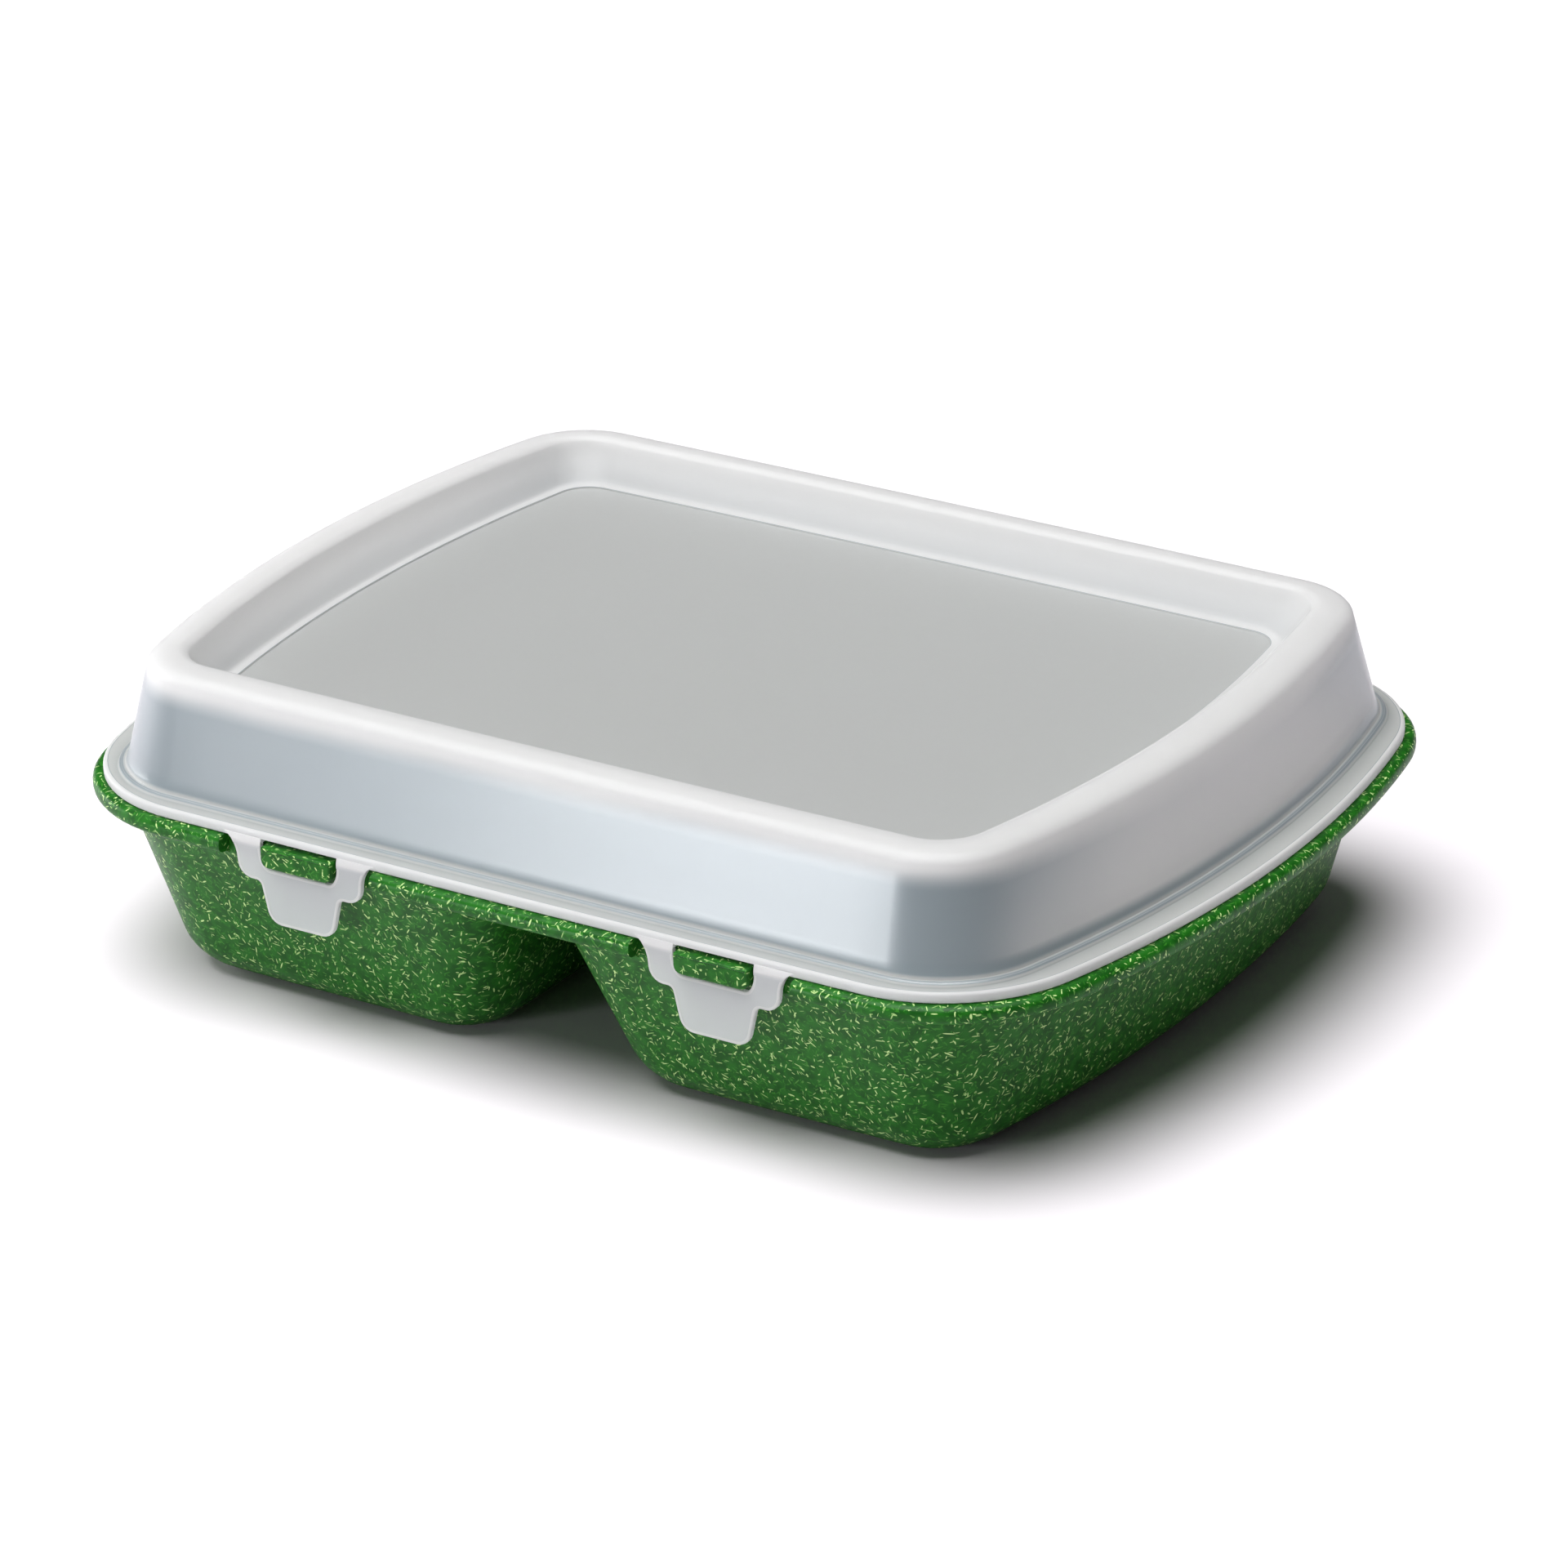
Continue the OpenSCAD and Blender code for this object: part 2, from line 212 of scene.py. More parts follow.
class RingShell:
    """A closed moulded shell that grows ring by ring from one capped circle."""

    def __init__(self, first: Sequence[Vector], tone: float = 0.5) -> None:
        """Start with a capped circle.

        Args:
            first: Points of the first ring.
            tone: Value of the shell's tone attribute on that ring.
        """
        self.mesh = bmesh.new()
        self.tone = self.mesh.verts.layers.float.new("tone")
        made = bmesh.ops.create_circle(
            self.mesh, cap_ends=True, radius=1.0, segments=len(first)
        )
        self.ring: list[bmesh.types.BMVert] = list(made["verts"])
        self.place(first, tone)

    def place(self, points: Sequence[Vector], tone: float) -> None:
        """Put the open ring on these points and give it a tone."""
        for vert, point in zip(self.ring, points, strict=True):
            vert.co = point
            vert[self.tone] = tone

    def edges(self) -> list[bmesh.types.BMEdge]:
        """Edges of the open ring, in order."""
        ends = self.ring[1:] + self.ring[:1]
        return [self.mesh.edges.get(pair) for pair in zip(self.ring, ends, strict=True)]

    def grow(self, points: Sequence[Vector], tone: float = 0.5) -> None:
        """Extrude the open ring and put the new one on these points.

        Args:
            points: Places of the new ring, as many as the ring has.
            tone: Value of the tone attribute on the new ring.
        """
        made = bmesh.ops.extrude_edge_only(self.mesh, edges=self.edges())
        fresh = {g for g in made["geom"] if isinstance(g, bmesh.types.BMVert)}
        self.ring = [
            next(e.other_vert(v) for e in v.link_edges if e.other_vert(v) in fresh)
            for v in self.ring
        ]
        self.place(points, tone)

    def close(self) -> bmesh.types.BMesh:
        """Cap the last ring and hand the shell over.

        Returns:
            The closed mesh, in millimetres.
        """
        bmesh.ops.contextual_create(self.mesh, geom=self.edges())
        return self.mesh


def lifted(points: Sequence[Vector], height: float) -> list[Vector]:
    """Plan points at one height."""
    return [Vector((p.x, p.y, height)) for p in points]


def cut_windows(
    mesh: bmesh.types.BMesh, half: float, picks: Callable[[Vector], bool]
) -> list[bmesh.types.BMVert]:
    """Cut the faces near the long sides by upright planes at both sides of each clip.

    Args:
        mesh: Mesh in millimetres.
        half: Half the width of the window round a clip's middle.
        picks: Says of a face's middle whether the face is cut.

    Returns:
        The vertices inside the windows.
    """
    near = half - 0.05
    for middle in (-CLIP_ALONG, CLIP_ALONG):
        for edge in (-half, -near, near, half):
            faces = [f for f in mesh.faces if picks(f.calc_center_median())]
            edges = {e for f in faces for e in f.edges}
            verts = {v for f in faces for v in f.verts}
            bmesh.ops.bisect_plane(
                mesh,
                geom=[*verts, *edges, *faces],
                dist=1e-5,
                plane_co=(middle + edge, 0, 0),
                plane_no=(1, 0, 0),
            )
    return [v for v in mesh.verts if abs(abs(v.co.x) - CLIP_ALONG) < near + 0.01]


def round_off(
    mesh: bmesh.types.BMesh, picked: list, radius: float, steps: int, affect: str = "EDGES"
) -> None:
    """Round edges or corners of a mesh.

    Args:
        mesh: The mesh.
        picked: Its edges or vertices that are rounded.
        radius: Radius of the rounding.
        steps: Number of steps in it.
        affect: EDGES or VERTICES.
    """
    bmesh.ops.bevel(
        mesh, geom=picked, offset=radius, segments=steps, profile=0.5, affect=affect, material=-1
    )


def finish_piece(
    mesh: bmesh.types.BMesh, name: str, finish: bpy.types.Material, sharp: float
) -> bpy.types.Object:
    """Turn a mesh in millimetres into a finished object in metres.

    Args:
        mesh: The mesh, which is freed.
        name: Name of the piece.
        finish: Its material.
        sharp: Angle in degrees past which an edge stays sharp.

    Returns:
        The linked object.
    """
    bmesh.ops.remove_doubles(mesh, verts=mesh.verts, dist=1e-3)
    bmesh.ops.dissolve_degenerate(mesh, edges=mesh.edges, dist=1e-3)
    bmesh.ops.recalc_face_normals(mesh, faces=mesh.faces)
    bmesh.ops.scale(mesh, vec=(MM, MM, MM), verts=mesh.verts)
    data = bpy.data.meshes.new(name)
    mesh.to_mesh(data)
    mesh.free()
    data.shade_smooth()
    data.set_sharp_from_angle(angle=math.radians(sharp))
    data.materials.append(finish)
    return linked(name, data)


@dataclass
class Graph:
    """Short way to write a node tree."""

    tree: bpy.types.NodeTree

    def node(self, kind: str, **settings: object) -> bpy.types.Node:
        """Add a node.

        Args:
            kind: Node type without the word ShaderNode.
            settings: Attributes of the node.

        Returns:
            The node.
        """
        made = self.tree.nodes.new(f"ShaderNode{kind}")
        for key, value in settings.items():
            setattr(made, key, value)
        return made

    def feed(self, source: bpy.types.NodeSocket | float, target: bpy.types.NodeSocket) -> None:
        """Link a socket, or set a plain value."""
        if isinstance(source, bpy.types.NodeSocket):
            self.tree.links.new(source, target)
        else:
            target.default_value = source

    def math(self, what: str, *values: bpy.types.NodeSocket | float) -> bpy.types.NodeSocket:
        """Result of a Math node on these values."""
        made = self.node("Math", operation=what)
        for socket, value in zip(made.inputs, values):
            self.feed(value, socket)
        return made.outputs[0]

    def vector(self, what: str, *values: bpy.types.NodeSocket) -> bpy.types.NodeSocket:
        """Result of a Vector Math node on these values."""
        made = self.node("VectorMath", operation=what)
        for socket, value in zip(made.inputs, values):
            self.feed(value, socket)
        return made.outputs[0]

    def ramp(
        self,
        value: bpy.types.NodeSocket,
        low: bpy.types.NodeSocket | float,
        high: bpy.types.NodeSocket | float,
    ) -> bpy.types.NodeSocket:
        """Soft step of a value between two limits.

        Args:
            value: What is read.
            low: Where the step starts.
            high: Where the step ends.

        Returns:
            The result's socket, from 0 to 1.
        """
        made = self.node("MapRange", interpolation_type="SMOOTHSTEP")
        for place, given in enumerate((value, low, high)):
            self.feed(given, made.inputs[place])
        return made.outputs[0]

    def blend(
        self,
        share: bpy.types.NodeSocket | float,
        first: bpy.types.NodeSocket | tuple[float, ...],
        second: bpy.types.NodeSocket | tuple[float, ...],
    ) -> bpy.types.NodeSocket:
        """Colour at a share of the way between two colours."""
        made = self.node("Mix", data_type="RGBA")
        self.feed(share, made.inputs[0])
        self.feed(first, made.inputs[6])
        self.feed(second, made.inputs[7])
        return made.outputs[2]

    def noise(
        self,
        place: bpy.types.NodeSocket,
        scale: bpy.types.NodeSocket | float,
        detail: float = 2.0,
    ) -> bpy.types.NodeSocket:
        """Value of a noise at a place."""
        made = self.node("TexNoise", noise_dimensions="3D")
        for label, given in (("Vector", place), ("Scale", scale), ("Detail", detail)):
            self.feed(given, made.inputs[label])
        return made.outputs[0]

    def grained(
        self,
        shader: bpy.types.Node,
        grain: bpy.types.NodeTree,
        scale: float,
        strength: float,
        depth: float,
    ) -> bpy.types.Node:
        """Lay the mould's grain on a material as a faint bump.

        Args:
            shader: Shader of the material.
            grain: Node group of the grain.
            scale: How fine the grain is.
            strength: Strength of the bump.
            depth: Depth of the bump in metres.

        Returns:
            The grain's node.
        """
        fine = self.node("Group", node_tree=grain)
        self.feed(self.node("TexCoord").outputs["Object"], fine.inputs["Place"])
        self.feed(scale, fine.inputs["Scale"])
        bump = self.node("Bump")
        self.feed(strength, bump.inputs["Strength"])
        self.feed(depth, bump.inputs["Distance"])
        self.feed(fine.outputs["Grain"], bump.inputs["Height"])
        self.feed(bump.outputs[0], shader.inputs["Normal"])
        return fine


def new_material(name: str) -> tuple[bpy.types.Material, Graph, bpy.types.Node]:
    """Make a material with one plain shader.

    Args:
        name: Name of the material.

    Returns:
        The material, a graph on its tree, and its shader.
    """
    made = bpy.data.materials.new(name)
    made.use_nodes = True
    return made, Graph(made.node_tree), made.node_tree.nodes["Principled BSDF"]


def new_group(
    name: str, takes: dict[str, str], gives: dict[str, str]
) -> tuple[Graph, bpy.types.Node, bpy.types.Node]:
    """Make an empty shader node group with named sockets.

    Args:
        name: Name of the group.
        takes: Socket types of the inputs by name, without NodeSocket.
        gives: Socket types of the outputs by name.

    Returns:
        A graph on the group's tree, its input node and its output node.
    """
    tree = bpy.data.node_groups.new(name, "ShaderNodeTree")
    for way, sockets in (("INPUT", takes), ("OUTPUT", gives)):
        for label, kind in sockets.items():
            tree.interface.new_socket(label, in_out=way, socket_type=f"NodeSocket{kind}")
    return Graph(tree), tree.nodes.new("NodeGroupInput"), tree.nodes.new("NodeGroupOutput")


@dataclass(frozen=True)
class StrawLayer:
    """One layer of chopped straw in the tray's plastic."""

    cell: float
    shift: float
    share: float

    @staticmethod
    def group() -> bpy.types.NodeTree:
        """Node group that lays one fibre in each cell, turned its own way.

        Returns:
            The group, with the mask and the tone of each fibre.
        """
        takes = {"Place": "Vector", "Density": "Float", "Shift": "Vector", "Share": "Float"}
        gives = {"Mask": "Float", "Tone": "Float"}
        graph, given, put = new_group("straw_fibres", takes, gives)
        place = graph.vector(
            "MULTIPLY_ADD", given.outputs["Place"], given.outputs["Density"], given.outputs["Shift"]
        )
        cells = graph.node("TexVoronoi", voronoi_dimensions="2D", feature="F1")
        cells.inputs["Scale"].default_value = 1.0
        graph.feed(place, cells.inputs["Vector"])
        parts = graph.node("SeparateColor")
        graph.feed(cells.outputs["Color"], parts.inputs[0])
        turned = graph.node("VectorRotate", rotation_type="Z_AXIS")
        graph.feed(graph.vector("SUBTRACT", place, cells.outputs["Position"]), turned.inputs["Vector"])
        graph.feed(graph.math("MULTIPLY", parts.outputs[0], math.tau), turned.inputs["Angle"])
        size = graph.node("CombineXYZ")
        for axis, (spread, least) in enumerate(((0.26, 0.18), (-0.045, 0.095))):
            graph.feed(graph.math("MULTIPLY_ADD", parts.outputs[1], spread, least), size.inputs[axis])
        graph.feed(1.0, size.inputs[2])
        reach = graph.node("VectorMath", operation="LENGTH")
        graph.feed(graph.vector("DIVIDE", turned.outputs[0], size.outputs[0]), reach.inputs[0])
        there = graph.math("LESS_THAN", parts.outputs[2], given.outputs["Share"])
        blob = graph.ramp(reach.outputs["Value"], 1.0, 0.72)
        graph.feed(graph.math("MULTIPLY", there, blob), put.inputs["Mask"])
        tone = graph.node("TexWhiteNoise", noise_dimensions="2D")
        graph.feed(cells.outputs["Position"], tone.inputs["Vector"])
        graph.feed(tone.outputs["Value"], put.inputs["Tone"])
        return graph.tree


@dataclass(frozen=True)
class StrawPlastic:
    """Green plastic filled with chopped straw, as the tray is moulded from."""

    dark: Colour = (0.004, 0.068, 0.003, 1.0)
    middle: Colour = (0.01, 0.118, 0.006, 1.0)
    fibre: Colour = (0.03, 0.185, 0.015, 1.0)
    straw: Colour = (0.6, 0.82, 0.33, 1.0)
    cover: float = 0.85
    roughness: float = 0.4
    specular: float = 0.19
    grain_scale: float = 900.0
    grain_bump: float = 0.35
    grain_depth: float = 0.06 * MM

    def layers(self) -> list[StrawLayer]:
        """The layers of fibres, from the longest to the finest, with cells in millimetres."""
        return [
            StrawLayer(2.7, 0.0, 0.75),
            StrawLayer(2.3, 7.3, 0.75),
            StrawLayer(1.9, 15.1, 0.7),
            StrawLayer(1.6, 23.9, 0.7),
            StrawLayer(1.3, 31.7, 0.6),
        ]

    def flat_place(self, graph: Graph) -> bpy.types.NodeSocket:
        """Place on the tray, laid flat on whichever of its sides the surface faces.

        Args:
            graph: Graph of the material.

        Returns:
            The place in plan of that side, in metres.
        """
        source = graph.node("TexCoord")
        place = graph.node("SeparateXYZ")
        facing = graph.node("SeparateXYZ")
        graph.feed(source.outputs["Object"], place.inputs[0])
        graph.feed(source.outputs["Normal"], facing.inputs[0])
        x, y, z = place.outputs
        to_end, to_side, to_top = (graph.math("ABSOLUTE", out) for out in facing.outputs)
        level = graph.math("GREATER_THAN", to_top, graph.math("MAXIMUM", to_end, to_side))
        end = graph.math("GREATER_THAN", to_end, graph.math("MAXIMUM", to_side, to_top))
        flat = graph.node("CombineXYZ")
        graph.feed(graph.math("MULTIPLY_ADD", end, graph.math("SUBTRACT", y, x), x), flat.inputs[0])
        graph.feed(graph.math("MULTIPLY_ADD", level, graph.math("SUBTRACT", y, z), z), flat.inputs[1])
        return flat.outputs[0]

    def material(self, grain: bpy.types.NodeTree) -> bpy.types.Material:
        """Build the material.

        Args:
            grain: Node group of the mould's fine grain.

        Returns:
            The material.
        """
        made, graph, shader = new_material("green_straw_plastic")
        fine = graph.grained(shader, grain, self.grain_scale, self.grain_bump, self.grain_depth)
        place = graph.node("TexCoord").outputs["Object"]
        mottle = graph.ramp(graph.noise(place, 420.0, 3.0), 0.34, 0.66)
        colour = graph.blend(mottle, self.dark, self.middle)
        fibres = StrawLayer.group()
        flat = self.flat_place(graph)
        for layer in self.layers():
            laid = graph.node("Group", node_tree=fibres)
            graph.feed(flat, laid.inputs["Place"])
            laid.inputs["Density"].default_value = 1 / (layer.cell * MM)
            laid.inputs["Shift"].default_value = (layer.shift, layer.shift, 0.0)
            laid.inputs["Share"].default_value = layer.share
            tone = graph.ramp(laid.outputs["Tone"], 0.44, 1.05)
            tint = graph.blend(tone, self.fibre, self.straw)
            there = graph.math("MULTIPLY", laid.outputs["Mask"], self.cover)
            colour = graph.blend(there, colour, tint)
        graph.feed(colour, shader.inputs["Base Color"])
        worn = graph.math("MULTIPLY_ADD", fine.outputs["Grain"], 0.14, self.roughness - 0.07)
        graph.feed(worn, shader.inputs["Roughness"])
        shader.inputs["Specular IOR Level"].default_value = self.specular
        return made


@dataclass(frozen=True)
class FrostedPlastic:
    """Milky see-through plastic of the lid and its clips, with painted shade and painted glow in its colour.
    """

    # Painted shade: the dark colour laid on the flange top, where the lowest tones fall.
    flange_shade: Colour = (0.46, 0.49, 0.48, 1.0)
    thin: Colour = (0.625, 0.635, 0.625, 1.0)
    # Painted shade: the darker, bluer colour laid on the dome's walls and the clips' faces.
    wall_shade: Colour = (0.35, 0.412, 0.445, 1.0)
    # Painted glow: the near-white colour of the edges, the bead and the clips' outlines, where light is
    # carried through the plastic.
    glow_white: Colour = (0.88, 0.88, 0.875, 1.0)
    roughness: float = 0.5
    polish: float = 0.9
    coat_roughness: float = 0.27
    transmission: float = 0.56
    refraction: float = 1.35
    grain_scale: float = 650.0
    grain_bump: float = 0.12
    grain_depth: float = 0.04 * MM

    def material(self, grain: bpy.types.NodeTree) -> bpy.types.Material:
        """Build the material.

        Args:
            grain: Node group of the mould's fine grain.

        Returns:
            The material.
        """
        made, graph, shader = new_material("frosted_plastic")
        fine = graph.grained(shader, grain, self.grain_scale, self.grain_bump, self.grain_depth)
        tone = graph.node("Attribute", attribute_name="tone").outputs["Fac"]
        shade = graph.math("MULTIPLY_ADD", fine.outputs["Cloud"], 0.06, tone)
        # Low tones paint shade over the flange, middle tones the walls' shade, high tones the glow of edges
        # and bead.
        colour = graph.blend(graph.ramp(shade, -0.3, -0.02), self.flange_shade, self.thin)
        colour = graph.blend(graph.ramp(shade, 0.1, 0.4), colour, self.wall_shade)
        colour = graph.blend(graph.ramp(shade, 0.44, 0.62), colour, self.glow_white)
        graph.feed(colour, shader.inputs["Base Color"])
        smooth = graph.math("MULTIPLY", graph.ramp(tone, 0.26, 0.4), graph.ramp(tone, 0.59, 0.43))
        graph.feed(graph.math("MULTIPLY", smooth, self.polish), shader.inputs["Coat Weight"])
        worn = graph.math("MULTIPLY_ADD", fine.outputs["Grain"], 0.08, self.roughness - 0.04)
        graph.feed(graph.math("MULTIPLY_ADD", smooth, -0.12, worn), shader.inputs["Roughness"])
        shader.inputs["Transmission Weight"].default_value = self.transmission
        shader.inputs["IOR"].default_value = self.refraction
        shader.inputs["Coat Roughness"].default_value = self.coat_roughness
        return made


def mould_grain() -> bpy.types.NodeTree:
    """Node group of the fine grain that the mould leaves on both plastics.

    Returns:
        The group, with the fine grain and a broad cloudiness.
    """
    takes, gives = {"Place": "Vector", "Scale": "Float"}, {"Grain": "Float", "Cloud": "Float"}
    graph, given, put = new_group("mould_grain", takes, gives)
    place = given.outputs["Place"]
    graph.feed(graph.noise(place, given.outputs["Scale"]), put.inputs["Grain"])
    graph.feed(graph.noise(place, 24.0), put.inputs["Cloud"])
    return graph.tree


@dataclass
class Tray:
    """Green tray: two bowls side by side under one rim, notched for the clips, in millimetres."""

    half_length: float = 120.0
    half_width: float = 89.0
    rim_high: float = 40.0
    rim_low: float = 36.4
    rim_corner: float = 34.0
    rim_edge: float = 1.5
    end_bow: float = 15.0
    side_bow: float = 0.6
    bowl_length: float = 110.5
    bowl_width: float = 85.4
    draft: float = 19.5
    corner_top: float = 24.0
    corner_low: float = 15.0
    floor_bow: float = 7.0
    floor_round: float = 8.0
    gap_top: float = 6.5
    gap_draft: float = 15.0
    gap_corner: float = 13.0
    wall: float = 1.6
    flare: float = 1.9
    flare_drop: float = 2.8
    ridge_drop: float = 1.2
    notch_half: float = 17.9
    notch_back: float = 85.7
    lug_half: float = 8.3
    lug_out: float = 88.5
    lug_low: float = 35.7
    lug_high: float = 40.0

    def bowl(self, height: float, grow: float) -> tuple[BowedOutline, float, float]:
        """Outline of the right bowl at a height.

        Args:
            height: Height above the table.
            grow: How far the outline is grown outwards.

        Returns:
            The bowed outline, the place of the wall at the gap, and the corner radius there.
        """
        drop = max(self.rim_low - height, 0.0)
        t = drop / self.rim_low
        into = drop * math.tan(math.radians(self.draft))
        outline = BowedOutline(
            self.bowl_length - into + grow,
            self.bowl_width - into + grow,
            mix(self.end_bow, self.floor_bow, t),
            self.side_bow,
            mix(self.corner_top, self.corner_low, t) + grow,
        )
        gap = self.gap_top + drop * math.tan(math.radians(self.gap_draft)) - grow
        return outline, gap, self.gap_corner + grow

    @staticmethod
    def gap_turn(outline: BowedOutline, gap: float, corner: float) -> tuple[Vector, float]:
        """Centre of the corner at the gap, and the angle where it leaves the long side."""
        far = outline.side_radius - corner
        reach = math.sqrt(far**2 - (gap + corner) ** 2)
        middle = Vector((gap + corner, outline.side_middle.y + reach))
        return middle, math.atan2(reach, gap + corner)

    def bowl_ring(self, height: float, grow: float, level: float | None = None) -> list[Vector]:
        """Ring of the right bowl.

        Args:
            height: Height that the outline is read at.
            grow: How far it is grown outwards.
            level: Height that the ring is put at, when it is another.

        Returns:
            The ring's points.
        """
        outline, gap, corner = self.bowl(height, grow)
        middle, turn = self.gap_turn(outline, gap, corner)
        half = outline.upto(turn) + arc(middle, corner, turn, math.pi, GAP_STEPS)[1:]
        last = half[-1].y
        half += [Vector((gap, mix(last, 0.0, i / WALL_STEPS))) for i in range(1, WALL_STEPS + 1)]
        ring = half + [Vector((p.x, -p.y)) for p in reversed(half[1:-1])]
        return lifted(ring, height if level is None else level)

    def rim_ring(self, inset: float, height: float) -> list[Vector]:
        """Ring of the right half of the rim, closed along the middle line.

        Args:
            inset: How far the ring lies inside the rim's outermost outline.
            height: Height of the ring.

        Returns:
            The ring's points, which match those of a bowl.
        """
        base = BowedOutline(
            self.half_length, self.half_width, self.end_bow, self.side_bow, self.rim_corner
        ).grown(-inset)
        inner, gap, corner = self.bowl(self.rim_low, 0.0)
        middle, turn = self.gap_turn(inner, gap, corner)
        side = base.side_middle
        half = base.upto(turn)
        half += arc(side, base.side_radius, turn, math.pi / 2, GAP_STEPS // 2)[1:]
        top, steps = half[-1].y, GAP_STEPS // 2
        half += [Vector((0.0, mix(top, middle.y, i / steps))) for i in range(1, steps + 1)]
        half += [
            Vector((0.0, mix(middle.y, 0.0, i / WALL_STEPS))) for i in range(1, WALL_STEPS + 1)
        ]
        ring = half + [Vector((p.x, -p.y)) for p in reversed(half[1:-1])]
        return lifted(ring, height)

    def right_half(self) -> bmesh.types.BMesh:
        """Right half of the tray, from the bowl's floor up, over the rim and down outside."""
        round_in = self.floor_round - self.wall
        shell = RingShell(self.bowl_ring(self.wall, -self.floor_round))
        for down, out in rounding(84, 0, 7):
            shell.grow(self.bowl_ring(self.wall + round_in * down, -self.wall - round_in * out))
        for share in (0.33, 0.66, 1.0):
            shell.grow(self.bowl_ring(mix(self.floor_round, self.rim_low, share), -self.wall))
        for down, out in rounding(0, 90, 4):
            grow, level = -self.wall + 0.3 + 0.9 * out, self.rim_high - 0.9 * down
            shell.grow(self.bowl_ring(self.rim_low, grow, level))
        shell.grow(self.rim_ring(self.rim_edge + 0.5, self.rim_high))
        for down, out in rounding(90, 0, 4):
            shell.grow(self.rim_ring(self.rim_edge * out, self.rim_high - self.rim_edge * down))
        for down, out in rounding(0, 90, 4):
            shell.grow(self.rim_ring(self.rim_edge * out, self.rim_low + self.rim_edge * down))
        for down, out in rounding(90, 0, 6):
            shell.grow(self.bowl_ring(self.rim_low - self.flare_drop * down, self.flare * out))
        top = self.rim_low - self.flare_drop
        for share in (0.33, 0.66, 1.0):
            shell.grow(self.bowl_ring(mix(top, self.floor_round, share), 0.0))
        for down, out in rounding(11, 90, 7):
            shell.grow(self.bowl_ring(self.floor_round * down, -self.floor_round * out))
        for inset, level in ((1.2, 0.0), (2.4, 0.45), (3.4, 0.5)):
            shell.grow(self.bowl_ring(0.0, -self.floor_round - inset, level))
        return shell.close()

    def sink_ridge(self, mesh: bmesh.types.BMesh) -> None:
        """Lower the ridge between the two bowls a little below the rim."""
        inner, gap, corner = self.bowl(self.rim_low, 0.0)
        end = self.gap_turn(inner, gap, corner)[0].y
        for vert in mesh.verts:
            if vert.co.x < gap + self.wall + 0.5 and vert.co.z > self.rim_low + 0.5:
                share = 1 - ease(abs(vert.co.y), end - 8.0, end + 1.0)
                vert.co.z -= self.ridge_drop * share * ease(vert.co.z, self.rim_low + 0.5, 39.0)

    def cut_notches(self, mesh: bmesh.types.BMesh) -> None:
        """Notch the rim where the clips pass it."""
        low = self.rim_low - 2 * self.flare - 1.0
        inside = cut_windows(mesh, self.notch_half, lambda c: abs(c.y) > 80 and c.z > low - 8)
        for vert in inside:
            if vert.co.z > low and abs(vert.co.y) > self.notch_back:
                vert.co.y = math.copysign(self.notch_back, vert.co.y)

    def add_lug(self, tray: bmesh.types.BMesh, place: float, side: int) -> None:
        """Add the lug that a clip's slot hooks over.

        Args:
            tray: Mesh of the tray.
            place: Middle of the lug along X.
            side: -1 at the front, 1 at the back.
        """
        mesh = bmesh.new()
        bmesh.ops.create_cube(mesh, size=1.0)
        inner, outer = self.notch_back - 0.5, self.lug_out
        tall = self.lug_high - self.lug_low
        bmesh.ops.scale(mesh, vec=(2 * self.lug_half, outer - inner, tall), verts=mesh.verts)
        centre = Vector((place, side * (inner + outer) / 2, (self.lug_high + self.lug_low) / 2))
        bmesh.ops.translate(mesh, vec=centre, verts=mesh.verts)
        for upper, radius in ((False, 1.7), (True, 0.4)):
            across = [e for e in mesh.edges if abs(e.verts[0].co.y - e.verts[1].co.y) > 1e-3]
            ends = [e for e in across if (min(v.co.z for v in e.verts) > centre.z) == upper]
            round_off(mesh, ends, radius, 4)
        nose = [e for e in mesh.edges if all(abs(v.co.y) > outer - 1e-4 for v in e.verts)]
        round_off(mesh, nose, 0.5, 4)
        data = bpy.data.meshes.new("lug")
        mesh.to_mesh(data)
        mesh.free()
        tray.from_mesh(data)
        bpy.data.meshes.remove(data)

    def build(self, finish: bpy.types.Material) -> bpy.types.Object:
        """Model the tray and dress it.

        Args:
            finish: Material of the tray.

        Returns:
            The tray's object.
        """
        mesh = self.right_half()
        self.sink_ridge(mesh)
        middle = [f for f in mesh.faces if all(abs(v.co.x) < 1e-5 for v in f.verts)]
        bmesh.ops.delete(mesh, geom=middle, context="FACES")
        everything = [*mesh.verts, *mesh.edges, *mesh.faces]
        bmesh.ops.mirror(mesh, geom=everything, matrix=Matrix.Identity(4), merge_dist=1e-4, axis="X")
        self.cut_notches(mesh)
        for side in (-1, 1):
            for place in (-CLIP_ALONG, CLIP_ALONG):
                self.add_lug(mesh, place, side)
        piece = finish_piece(mesh, "moulded_tray", finish, 38.0)
        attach(piece, "tray")
        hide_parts("tray")
        return piece


